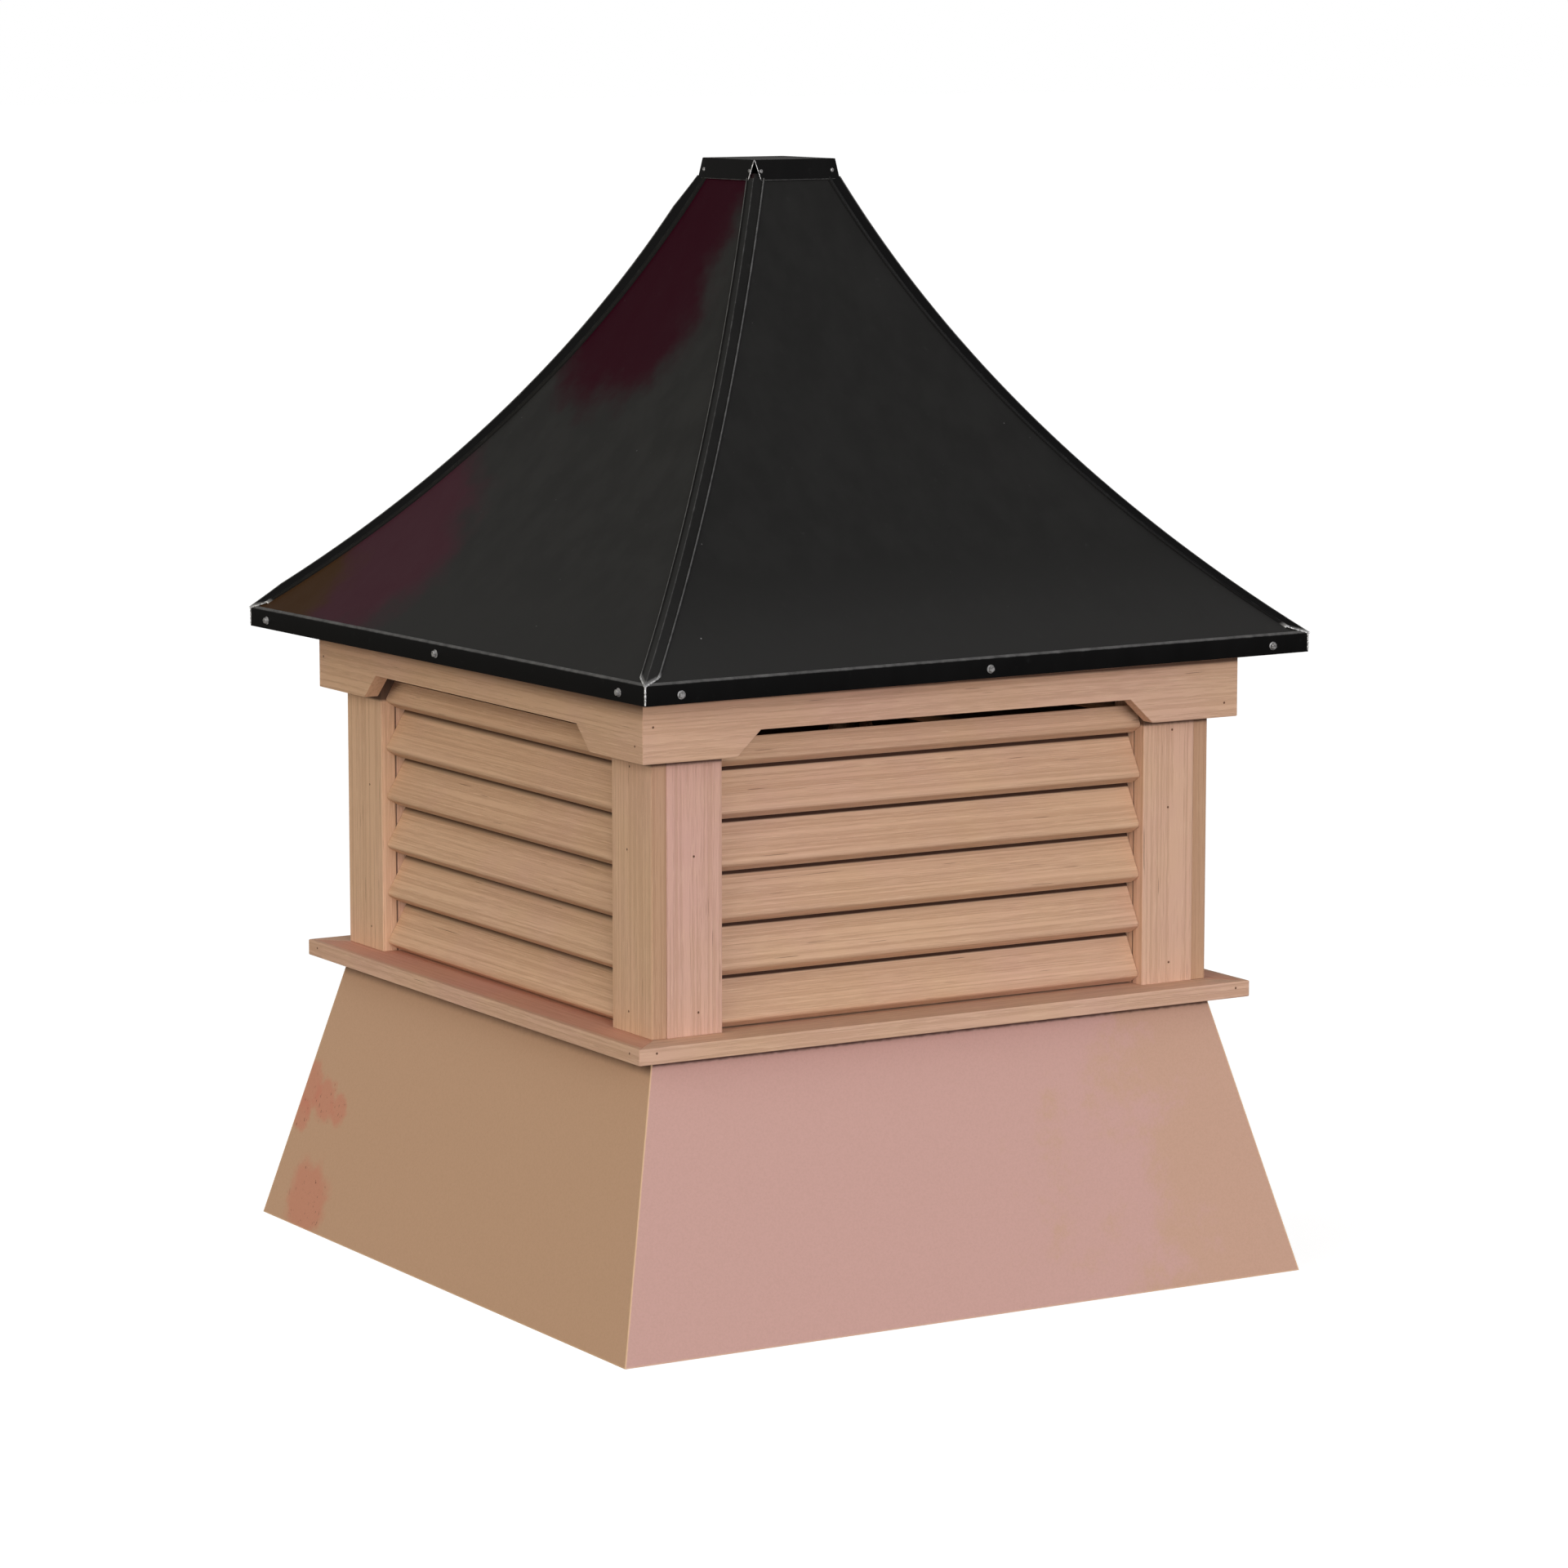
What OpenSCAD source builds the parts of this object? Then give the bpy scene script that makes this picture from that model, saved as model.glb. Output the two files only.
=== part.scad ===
// Louvred roof cupola: flared skirt, sill, louvred body, frieze and a concave hipped metal roof.
// Origin: centre of the square plan, on the skirt's bottom edge. +Z is up, -Y is the front.

/* [Skirt] */
// Width of the skirt along its bottom edge
base_w = 914; // [860:1:1000]
// Width of the skirt along its top edge, under the sill
skirt_top_w = 750; // [700:1:760]
// Height of the skirt
skirt_h = 326; // [250:1:400]
// Thickness of the skirt panels, measured level
skirt_t = 12; // [9:1:18]

/* [Sill] */
// Outside width of the sill
sill_w = 824; // [790:1:850]
// Thickness of the sill boards
sill_t = 19; // [15:1:25]
// Breadth of the sill boards
sill_board = 115; // [100:1:130]

/* [Louvred body] */
// Outside width over the corner boards
body_w = 748; // [740:1:770]
// Height of the corner boards, from the sill to the top plate
body_h = 365; // [360:1:375]
// Thickness of the corner, stile and frieze boards
board_t = 19; // [16:1:22]
// How much of each face one corner covers
corner_w = 90; // [80:1:100]
// Number of blades in each louvre
blades = 6; // [5:1:6]
// Height from one blade to the next
blade_pitch = 59; // [57:1:60]
// Breadth of a blade
blade_w = 64; // [62:1:66]
// Breadth of the top blade, which is ripped down to leave a gap under the frieze
top_blade_w = 27; // [20:1:40]
// Thickness of a blade
blade_t = 19; // [15:1:20]
// Slope of the blades, up from level
blade_slope = 60; // [58:1:62]
// How far the blades' front edges lie behind the corner boards' faces
blade_inset = 5; // [4:1:8]

/* [Frieze] */
// Outside width over the frieze boards
frieze_w = 798; // [792:1:810]
// Height of the frieze boards at their ends
frieze_h = 71; // [60:1:72]
// How far the middle of a frieze board is cut up
frieze_rise = 29; // [20:1:35]
// Length of the level middle of the cut
frieze_cut_w = 496; // [450:2:520]
// Level run of each sloping end of the cut
frieze_slope_run = 31; // [20:1:40]

/* [Roof] */
// Width of the roof over the eave trims
eave_w = 910; // [890:1:930]
// Height of the eave trims
eave_h = 22; // [18:1:26]
// Height of the roof from the top of the eave trims to the foot of the collar
roof_h = 523; // [480:1:560]
// How far the roof's curve sags below a straight slope
roof_sag = 37; // [20:1:60]
// Thickness of the sheet metal
sheet_t = 2; // [1.5:0.5:3]
// Width of a hip cap, seen from above
hip_cap_w = 22; // [16:1:30]
// How far the roof is turned on the body, seen from above
roof_turn = 2.2; // [0:0.1:3]

/* [Collar] */
// Width of the collar at its foot
collar_w = 122; // [110:1:130]
// Width of the collar at its top
collar_top_w = 114; // [100:1:116]
// Height of the collar
collar_h = 24; // [18:1:30]

/* [Hidden] */

wood = "#c59e87";
metal = "#262626";
arc_fn = 180;

// Heights, from the floor up.
sill_z = skirt_h;
body_z = sill_z + sill_t;
plate_z = body_z + body_h;
plate_t = 19;
frieze_top_z = plate_z + plate_t;
eave_z = frieze_top_z + 4;
roof_z = eave_z + eave_h;
collar_z = roof_z + roof_h;

// Half widths that the parts share.
body_r = body_w / 2;
opening_r = body_r - corner_w;
frieze_r = frieze_w / 2;
plate_r = frieze_r - board_t;
plate_board = 64;
stile_depth = 41;
blade_gap = 0.5;
blade_foot = 1.5;
blade_round = 5;
roof_base_r = 430;
roof_base_board = 70;
roof_base_h = 45;
eave_r = eave_w / 2;
eave_lip = 8;
roof_tuck = 8;
hip_cap_rise = 2.5;
collar_r = collar_w / 2;
collar_top_r = collar_top_w / 2;
collar_slit_w = 15;
// A cut runs past the face it starts from by this much.
past = 1;
far = 2 * base_w;

// The roof's profile is one arc, from the eave to the collar's foot, with its centre outside the roof.
function arc_radius(run, rise, sag) = (run * run + rise * rise) / (8 * sag) + sag / 2;
panel_r = eave_r - sheet_t;
roof_run = panel_r - collar_r + sheet_t;
roof_slope = atan2(roof_h, roof_run);
roof_radius = arc_radius(roof_run, roof_h, roof_sag);
arc_reach = roof_radius - roof_sag;
arc_y = -(panel_r - roof_run / 2) - arc_reach * sin(roof_slope);
arc_z = roof_z + roof_h / 2 + arc_reach * cos(roof_slope);

// The quarter of the plan that faces the front, bounded by the two diagonals.
module front_quarter(height) {
    linear_extrude(height) polygon([[0, 0], [-far, -far], [far, -far]]);
}

// An outline in the (y, z) plane, carried along X over the whole width and mitred to the front quarter.
module mitred_front(bottom, height) {
    intersection() {
        translate([-far / 2, 0, 0]) rotate([90, 0, 90]) linear_extrude(far) children();
        translate([0, 0, bottom]) front_quarter(height);
    }
}

module skirt_panel() {
    color(wood) mitred_front(0, skirt_h) polygon([
        [-base_w / 2, 0], [-skirt_top_w / 2, skirt_h],
        [-skirt_top_w / 2 + skirt_t, skirt_h], [-base_w / 2 + skirt_t, 0]]);
}

module sill_panel() {
    color(wood) mitred_front(sill_z, sill_t)
        translate([-sill_w / 2, sill_z]) square([sill_board, sill_t]);
}

// A corner is two boards: one across the side, showing its edge to the front, and one on the face beside it.
module side_board() {
    color(wood) translate([-body_r, -body_r, body_z]) cube([board_t, corner_w, body_h]);
}

module face_board() {
    color(wood) translate([-body_r + board_t, -body_r, body_z]) cube([corner_w - board_t, board_t, body_h]);
}

module louvre_stiles() {
    color(wood) for (side = [0, 1]) mirror([side, 0, 0])
        translate([-opening_r - board_t, -body_r + board_t, body_z]) cube([board_t, stile_depth, body_h]);
}

// A blade's section has its front edge at the origin and slopes back and up. Its lower front edge is rounded.
module blade_section(breadth) {
    rotate(blade_slope - 90) union() {
        translate([0, blade_round]) square([blade_t, breadth - blade_round]);
        translate([blade_round, 0]) square([blade_t - blade_round, blade_round]);
        translate([blade_round, blade_round]) circle(blade_round, $fn = 48);
    }
}

module louvre_blades() {
    length = 2 * (opening_r - blade_gap);
    first_z = body_z + blade_foot + blade_t * cos(blade_slope);
    color(wood) for (i = [0 : blades - 1])
        translate([-length / 2, -body_r + blade_inset, first_z + i * blade_pitch])
            rotate([90, 0, 90]) linear_extrude(length) blade_section(i < blades - 1 ? blade_w : top_blade_w);
}

// The plate ties the heads of the corners together. The frieze boards hang on its edges.
module top_plate() {
    color(wood) translate([0, 0, plate_z]) linear_extrude(plate_t) difference() {
        square(2 * plate_r, center = true);
        square(2 * (plate_r - plate_board), center = true);
    }
}

// A frieze board is mitred at its ends, and its lower edge is cut up between two slopes.
module frieze_board() {
    cut = frieze_cut_w / 2;
    foot = cut + frieze_slope_run;
    color(wood) difference() {
        mitred_front(frieze_top_z - frieze_h, frieze_h)
            translate([-frieze_r, frieze_top_z - frieze_h]) square([board_t, frieze_h]);
        translate([0, -frieze_r + 2 * board_t, frieze_top_z - frieze_h])
            rotate([90, 0, 0]) linear_extrude(3 * board_t)
                polygon([
                    [-foot, 0], [-cut, frieze_rise], [cut, frieze_rise], [foot, 0], [foot, -past], [-foot, -past]]);
    }
}

// A layer of the roof in section: the ring between two circles about the arc's centre. Its outer face is the
// smaller circle, because the centre lies outside the roof.
module roof_layer(outer, inner) {
    translate([arc_y, arc_z]) difference() {
        circle(inner, $fn = arc_fn);
        circle(outer, $fn = arc_fn);
    }
}

// A wooden ring under the eave. Its upper outer edge is planed to the roof's curve.
module roof_base() {
    color(wood) rotate(roof_turn) for (turn = [0 : 3]) rotate(90 * turn)
        mitred_front(frieze_top_z, roof_base_h) difference() {
            translate([-roof_base_r, frieze_top_z]) square([roof_base_board, roof_base_h]);
            translate([arc_y, arc_z]) circle(roof_radius + sheet_t, $fn = arc_fn);
        }
}

module roof_panel() {
    color(metal) rotate(roof_turn) mitred_front(eave_z, collar_z + roof_tuck - eave_z) intersection() {
        roof_layer(roof_radius, roof_radius + sheet_t);
        translate([-panel_r, eave_z]) square([panel_r, collar_z + roof_tuck - eave_z]);
    }
}

// Half of a hip cap: a strip of sheet over the front panel, along its left hip.
module hip_cap_half() {
    reach = hip_cap_w / sqrt(2);
    intersection() {
        mitred_front(eave_z, collar_z - eave_z) intersection() {
            roof_layer(roof_radius - hip_cap_rise, roof_radius);
            translate([-panel_r, eave_z]) square([panel_r, collar_z - eave_z]);
        }
        translate([0, 0, eave_z]) linear_extrude(collar_z - eave_z)
            polygon([[0, 0], [-far, -far], [reach - far, -far], [reach, 0]]);
    }
}

module hip_cap() {
    color(metal) rotate(roof_turn) union() {
        hip_cap_half();
        mirror([1, -1, 0]) hip_cap_half();
    }
}

// The eave trim is an angle of sheet: it covers the panel's edge and turns in under it.
module eave_trim() {
    color(metal) rotate(roof_turn) mitred_front(eave_z, eave_h) union() {
        translate([-eave_r, eave_z]) square([sheet_t, eave_h]);
        translate([-eave_r, eave_z]) square([eave_lip, sheet_t]);
    }
}

// The collar is one strip of sheet, bent round four sides. Its ends part below, at the front left corner.
module collar() {
    color(metal) rotate(roof_turn) difference() {
        for (turn = [0 : 3]) rotate(90 * turn) mitred_front(collar_z, collar_h) polygon([
            [-collar_r, collar_z], [-collar_top_r, collar_z + collar_h],
            [-collar_top_r + sheet_t, collar_z + collar_h], [-collar_r + sheet_t, collar_z]]);
        rotate(-45) rotate([90, 0, 0]) linear_extrude(far) polygon([
            [-collar_slit_w / 2, collar_z - past], [0, collar_z + collar_h], [collar_slit_w / 2, collar_z - past]]);
    }
}

module collar_lid() {
    color(metal) rotate(roof_turn) translate([0, 0, collar_z + collar_h - sheet_t])
        linear_extrude(sheet_t) square(2 * (collar_top_r - sheet_t), center = true);
}

// Puts a copy of a front piece on the side that is so many quarter turns round, counted from the front by the right.
module on_side(turns) {
    rotate(90 * turns) children();
}

// Puts a copy of a front left piece at another corner.
module at_corner(right, back) {
    mirror([right, 0, 0]) mirror([0, back, 0]) children();
}

on_side(0) skirt_panel();  // skirt_front
on_side(1) skirt_panel();  // skirt_right
on_side(2) skirt_panel();  // skirt_back
on_side(3) skirt_panel();  // skirt_left
on_side(0) sill_panel();  // sill_front
on_side(1) sill_panel();  // sill_right
on_side(2) sill_panel();  // sill_back
on_side(3) sill_panel();  // sill_left
at_corner(0, 0) side_board();  // side_board_front_left
at_corner(1, 0) side_board();  // side_board_front_right
at_corner(1, 1) side_board();  // side_board_back_right
at_corner(0, 1) side_board();  // side_board_back_left
at_corner(0, 0) face_board();  // face_board_front_left
at_corner(1, 0) face_board();  // face_board_front_right
at_corner(1, 1) face_board();  // face_board_back_right
at_corner(0, 1) face_board();  // face_board_back_left
on_side(0) louvre_stiles();  // louvre_stiles_front
on_side(1) louvre_stiles();  // louvre_stiles_right
on_side(2) louvre_stiles();  // louvre_stiles_back
on_side(3) louvre_stiles();  // louvre_stiles_left
on_side(0) louvre_blades();  // louvre_blades_front
on_side(1) louvre_blades();  // louvre_blades_right
on_side(2) louvre_blades();  // louvre_blades_back
on_side(3) louvre_blades();  // louvre_blades_left
top_plate();
on_side(0) frieze_board();  // frieze_front
on_side(1) frieze_board();  // frieze_right
on_side(2) frieze_board();  // frieze_back
on_side(3) frieze_board();  // frieze_left
roof_base();
on_side(0) roof_panel();  // roof_front
on_side(1) roof_panel();  // roof_right
on_side(2) roof_panel();  // roof_back
on_side(3) roof_panel();  // roof_left
on_side(0) hip_cap();  // hip_cap_front_left
on_side(1) hip_cap();  // hip_cap_front_right
on_side(2) hip_cap();  // hip_cap_back_right
on_side(3) hip_cap();  // hip_cap_back_left
on_side(0) eave_trim();  // eave_trim_front
on_side(1) eave_trim();  // eave_trim_right
on_side(2) eave_trim();  // eave_trim_back
on_side(3) eave_trim();  // eave_trim_left
collar();
collar_lid();
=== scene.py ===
# %% [markdown]
# # A louvred roof cupola, finished in cells
# A cupola is the small vented tower on a barn's or a garage's ridge. This one is a flared skirt, a sill, a
# square body with a louvre in each side, a frieze, and a concave hipped roof of black sheet metal.
# The structure arrives as a frame of solid parts. This script leaves them where they are. It eases their
# edges, paints them, and makes what is too thin or too fine for the frame: the rolled sheet, the folded
# caps and trims, and the screws, rivets and nails.

import math

import bpy
import numpy as np
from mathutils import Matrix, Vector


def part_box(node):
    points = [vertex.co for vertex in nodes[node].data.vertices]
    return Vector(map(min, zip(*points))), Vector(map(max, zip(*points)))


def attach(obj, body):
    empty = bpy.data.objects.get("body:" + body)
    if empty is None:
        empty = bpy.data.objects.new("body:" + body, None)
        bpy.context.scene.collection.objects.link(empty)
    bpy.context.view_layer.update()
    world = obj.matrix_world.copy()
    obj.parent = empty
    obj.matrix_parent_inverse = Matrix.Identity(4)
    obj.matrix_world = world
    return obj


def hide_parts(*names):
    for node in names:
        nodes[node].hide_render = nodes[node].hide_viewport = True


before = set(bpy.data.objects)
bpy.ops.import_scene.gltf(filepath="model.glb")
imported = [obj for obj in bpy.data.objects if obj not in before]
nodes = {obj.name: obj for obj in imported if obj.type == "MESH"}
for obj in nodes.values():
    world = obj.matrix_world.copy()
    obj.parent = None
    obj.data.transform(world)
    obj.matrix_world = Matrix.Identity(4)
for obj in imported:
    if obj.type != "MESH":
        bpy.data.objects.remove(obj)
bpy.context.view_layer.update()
BODY = "root"
SIDES = ("front", "right", "back", "left")
CORNERS = ("front_left", "front_right", "back_right", "back_left")

# %% [markdown]
# ## Sizes that come from the frame
# Everything that this script adds sits on a part of the frame, so its place is read there and not typed in.
# The body is square to the axes, so boxes are enough for it. The roof is turned a little on the body, so its
# angle is read from the corners of an eave trim.

# %% Read the sizes
MM = 0.001
HALF_SQUARE = math.sqrt(2)


def vertices(node):
    """All vertices of a frame node, as an array with one row for each."""
    mesh = nodes[node].data
    flat = np.empty(3 * len(mesh.vertices))
    mesh.vertices.foreach_get("co", flat)
    return flat.reshape(-1, 3)


def largest_corner(node):
    """The vertex farthest from the vertical axis, among those on the left of the front."""
    points = vertices(node)
    points = points[points[:, 0] < 0]
    return points[np.argmax(np.hypot(points[:, 0], points[:, 1]))]


eave_corner = largest_corner("eave_trim_front")
eave_r = math.hypot(eave_corner[0], eave_corner[1]) / HALF_SQUARE
roof_turn = math.atan2(eave_corner[1], eave_corner[0]) + math.radians(135)
eave_low, eave_high = (corner[2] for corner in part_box("eave_trim_front"))
collar_low, collar_high = (corner[2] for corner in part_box("collar"))
skirt_r = -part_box("skirt_front")[0][1]
skirt_top_r = -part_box("skirt_front")[1][1]
sill_r = -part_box("sill_front")[0][1]
sill_low, sill_high = (corner[2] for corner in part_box("sill_front"))
body_r = -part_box("side_board_front_left")[0][1]
opening_r = -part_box("face_board_front_left")[1][0]
frieze_r = -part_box("frieze_front")[0][1]
frieze_low, frieze_high = (corner[2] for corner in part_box("frieze_front"))
print("eave half width", round(eave_r, 4), "roof turned", round(math.degrees(roof_turn), 2), "degrees")

# %% [markdown]
# ## Finishes as sums
# A finish in Blender is a graph of nodes, and sums on numbers make most of it. A small class wraps a node's
# output so that Python's own operators add the Math nodes. The sum then reads like the rule it stands for,
# such as `1 - worn`. Everything that is not a sum on numbers goes through one method.

# %% A value in a finish
class Value:
    """A number, colour or vector that varies over a surface. Sums on it become Math nodes."""

    def __init__(self, finish, socket):
        self.finish = finish
        self.socket = socket

    def maths(self, operation, first, second=0.0):
        return self.finish.node("ShaderNodeMath", {"operation": operation}, {0: first, 1: second})

    def __add__(self, other):
        return self.maths("ADD", self, other)

    def __radd__(self, other):
        return self.maths("ADD", other, self)

    def __sub__(self, other):
        return self.maths("SUBTRACT", self, other)

    def __rsub__(self, other):
        return self.maths("SUBTRACT", other, self)

    def __mul__(self, other):
        return self.maths("MULTIPLY", self, other)

    def __rmul__(self, other):
        return self.maths("MULTIPLY", other, self)

    def __truediv__(self, other):
        return self.maths("DIVIDE", self, other)

    def __abs__(self):
        return self.maths("ABSOLUTE", self)

    def larger(self, other):
        return self.maths("MAXIMUM", self, other)


# %% A finish
def linear(red, green, blue):
    """A paint colour from its 0 to 255 shades, with the screen's curve taken out of each."""
    shades = np.array([red, green, blue]) / 255
    curved = np.where(shades <= 0.04045, shades / 12.92, ((shades + 0.055) / 1.055) ** 2.4)
    return (*curved.tolist(), 1.0)


class Finish:
    """A material that is being put together."""

    MIX_COLOURS = {"A": 6, "B": 7, "result": 2}

    def __init__(self, name):
        self.material = bpy.data.materials.new(name)
        self.material.use_nodes = True
        self.tree = self.material.node_tree
        self.surface = self.tree.nodes["Principled BSDF"]

    def node(self, kind, settings=None, sockets=None, output=0):
        """Adds a node, with its settings first, then its sockets' values or links. Gives one output."""
        made = self.tree.nodes.new(kind)
        for name, setting in (settings or {}).items():
            setattr(made, name, setting)
        self.feed(made, sockets or {})
        return Value(self, made.outputs[output])

    def feed(self, made, sockets):
        """Gives each named socket of a node its value, or links it to a value that varies."""
        for name, value in sockets.items():
            if isinstance(value, Value):
                self.tree.links.new(value.socket, made.inputs[name])
            else:
                made.inputs[name].default_value = value

    def place(self, scale=(1, 1, 1)):
        """The point on the object, in metres, stretched by a scale along each axis."""
        point = self.node("ShaderNodeTexCoord", output="Object")
        return self.node("ShaderNodeMapping", {}, {"Vector": point, "Scale": scale})

    def axes(self):
        """The point's three coordinates, as three values."""
        point = self.node("ShaderNodeTexCoord", output="Object")
        split = self.node("ShaderNodeSeparateXYZ", {}, {"Vector": point}).socket.node
        return [Value(self, socket) for socket in split.outputs]

    def noise(self, size, detail, roughness, seed):
        """Cloudy noise from about 0.3 to 0.7. Its size in metres is one number, or one for each axis."""
        sizes = np.broadcast_to(np.asarray(size, float), 3)
        point = self.place(tuple((1 / sizes).tolist()))
        sockets = {"Vector": point, "W": seed, "Scale": 1.0, "Detail": detail, "Roughness": roughness}
        return self.node("ShaderNodeTexNoise", {"noise_dimensions": "4D"}, sockets)

    def ramp(self, value, low, high):
        """0 below low, 1 above high, and a smooth S between. It falls where low is above high."""
        sockets = {"Value": value, "From Min": low, "From Max": high}
        return self.node("ShaderNodeMapRange", {"interpolation_type": "SMOOTHSTEP"}, sockets)

    def near(self, centre, radius, seed):
        """1 within a ragged ball, fading to 0 at its radius."""
        point = self.node("ShaderNodeTexCoord", output="Object")
        away = self.node("ShaderNodeVectorMath", {"operation": "DISTANCE"}, {0: point, 1: centre}, "Value")
        ragged = away + radius * (self.noise(0.5 * radius, 4.0, 0.6, seed) - 0.5)
        return self.ramp(ragged, radius, 0.55 * radius)

    def blend(self, share, first, second):
        """The first colour where the share is 0, the second where it is 1."""
        sockets = {0: share, self.MIX_COLOURS["A"]: first, self.MIX_COLOURS["B"]: second}
        return self.node("ShaderNodeMix", {"data_type": "RGBA"}, sockets, self.MIX_COLOURS["result"])

    def bump(self, height, depth):
        """A normal from a height between 0 and 1 that stands for so many metres."""
        sockets = {"Height": height, "Distance": depth, "Strength": 1.0}
        return self.node("ShaderNodeBump", {}, sockets, "Normal")

    def done(self, **sockets):
        """Sets the surface's sockets. An underline in a name stands for a space."""
        self.feed(self.surface, {name.replace("_", " "): value for name, value in sockets.items()})
        return self.material


print("finish tools ready")

# %% [markdown]
# ## Clay paint on sawn boards
# The body is built of dressed pine boards under one solid coat of clay-coloured paint. The coat is thin, so
# the grain still stands through it as fine ridges that run along each board. An image of wood would repeat
# and smear, so the grain here is noise that is drawn out along the board. Three widths of streak are added:
# pores, early and late wood, and the slow change of tone from one stretch to the next. Boards run up, across
# or away, so the same recipe is used for each direction. The blades of a louvre are cut from different
# boards, so each has its own tone. Shade is painted into the colour as dark brown: on the back of each blade,
# where it runs in under the one above, in a band under the frieze and under the eave, and in the crevice on
# the stiles' outer faces. The sills at the two sides have turned reddish on top, out to a few millimetres
# from their outer edge.

# %% Board paint
WOOD_TAN = linear(221, 183, 152)
WOOD_ROSE = linear(220, 176, 164)
WOOD_DARK = linear(164, 120, 90)
WOOD_PALE = linear(238, 208, 176)
CRACK_BROWN = linear(92, 56, 40)
# Painted shade: the dark brown of shade under the frieze, the eave and the sill, in crevices and at the backs
# of the blades.
SHADE_BROWN = linear(48, 17, 5)
REDDENED = linear(214, 128, 108)
FACE_SKIN = 1.2 * MM
blade_points = vertices("louvre_blades_front")
blade_r = -blade_points[:, 1].min()
blade_noses = blade_points[blade_points[:, 1] < 0.1 * MM - blade_r, 2]
blade_pitch = float(np.median(np.diff(np.unique(blade_noses.round(3)))))


def board_paint(name, along, seed, rose=0.3, painted_blade_shade=None, edged=False, painted_shade_above=None, joint=None,
                stain=None):
    """Paint over grain that runs along one axis: 0 is across the front, 1 is away from it, 2 is up.
    Streaks are noise stretched along that axis. Rose is how pink the tan turns in its clouds. Blades differ
    in tone and carry painted shade from one depth to another. Painted shade may also start at a height, where
    something overhangs, and in a joint, which is given as its distance from the middle of the cupola. A stain
    reddens what lies nearer the middle than a distance, and fades out by a second one."""
    finish = Finish(name)

    def streaks(width, length, detail, offset):
        sizes = [width, width, width]
        sizes[along] = length
        return finish.noise(sizes, detail, 0.6, seed + offset)

    pores = streaks(1.1 * MM, 30 * MM, 3.0, 0.0)
    rings = streaks(3.4 * MM, 380 * MM, 2.0, 1.7)
    stretch = finish.noise(140 * MM, 2.5, 0.6, seed + 3.1)
    grain = finish.ramp(0.35 * pores + 0.65 * rings, 0.42, 0.54)
    coat = finish.blend((rose + 1.2 * (stretch - 0.5)).larger(0.0), WOOD_TAN, WOOD_ROSE)
    coat = finish.blend(0.24 * (1 - grain), coat, WOOD_DARK)
    coat = finish.blend(0.40 * finish.ramp(pores, 0.54, 0.72), coat, WOOD_PALE)
    cracks = finish.ramp(streaks(1.9 * MM, 75 * MM, 1.0, 5.3), 0.735, 0.77)
    coat = finish.blend(0.55 * cracks, coat, CRACK_BROWN)
    x, y, z = finish.axes()
    if painted_blade_shade:
        own = finish.node("ShaderNodeTexWhiteNoise", {"noise_dimensions": "1D"}, {
            "W": finish.node("ShaderNodeMath", {"operation": "FLOOR"}, {0: z / blade_pitch}) + seed})
        coat = finish.blend(0.22 * own, coat, WOOD_DARK)
        # Painted shade: the back of each blade, where it runs in under the one above, is dark brown.
        depth = blade_r - abs((y, x)[along]) + 0.6 * MM * (pores - 0.5)
        coat = finish.blend(0.95 * finish.ramp(depth, *painted_blade_shade), coat, SHADE_BROWN)
    if stain:
        inner, outer = stain
        strip = finish.ramp(abs(x) + 5 * MM * (pores - 0.5), outer, inner)
        coat = finish.blend(0.4 * strip, coat, REDDENED)
    if joint:
        # Painted shade: dark brown in the crevice on a stile's outer face, beside the corner boards.
        gap = finish.ramp(abs(x).larger(abs(y)), joint - 1.8 * MM, joint - 0.9 * MM)
        coat = finish.blend(0.8 * gap, coat, SHADE_BROWN)
    if edged:
        edge = finish.ramp(abs(y), body_r - FACE_SKIN, body_r - 0.5 * FACE_SKIN)
        coat = finish.blend(0.45 * edge, coat, WOOD_DARK)
    if painted_shade_above:
        # Painted shade: dark brown from a height up, under something that overhangs.
        low, high = painted_shade_above
        coat = finish.blend(0.85 * finish.ramp(z + 2 * MM * (pores - 0.5), low, high), coat, SHADE_BROWN)
    height = 0.5 * pores + 0.7 * grain - 0.8 * cracks
    roughness = 0.58 + 0.16 * pores
    return finish.done(
        Base_Color=coat, Roughness=roughness, Normal=finish.bump(height, 0.35 * MM),
        Specular_IOR_Level=0.3)


# Painted shadow: a band under the frieze on the upright boards, and under the eave on the friezes.
under_frieze = (frieze_low - 8.5 * MM, frieze_low - 4.5 * MM)
stile_r = -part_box("louvre_stiles_front")[0][1]
boards_up = {
    "plain": board_paint("board_paint_up", 2, 0.0, painted_shade_above=under_frieze),
    "rosy": board_paint("board_paint_up_rosy", 2, 31.0, rose=0.85, painted_shade_above=under_frieze),
    "stile": board_paint("board_paint_stile", 2, 41.0, joint=stile_r),
    "edged": board_paint("board_paint_up_edged", 2, 21.0, rose=0.1, edged=True, painted_shade_above=under_frieze)}
sill_boards = [
    board_paint("sill_paint_0", 0, 4.0),
    board_paint("sill_paint_1", 1, 5.0, stain=(sill_r - 10 * MM, sill_r - 3 * MM))]
frieze_boards = [
    board_paint("frieze_paint_0", 0, 6.0, painted_shade_above=(frieze_high - 8.5 * MM, frieze_high - 5 * MM)),
    board_paint("frieze_paint_1", 1, 8.0, rose=0.1, painted_shade_above=(frieze_high - 22 * MM, frieze_high - 2 * MM))]
blade_boards = [
    board_paint("blade_paint_0", 0, 12.0, rose=0.15, painted_blade_shade=(22.9 * MM, 23.9 * MM)),
    board_paint("blade_paint_1", 1, 13.0, rose=0.0, painted_blade_shade=(20.5 * MM, 25.5 * MM))]
print("board paint in three directions, blade pitch", round(blade_pitch, 4))

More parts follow.
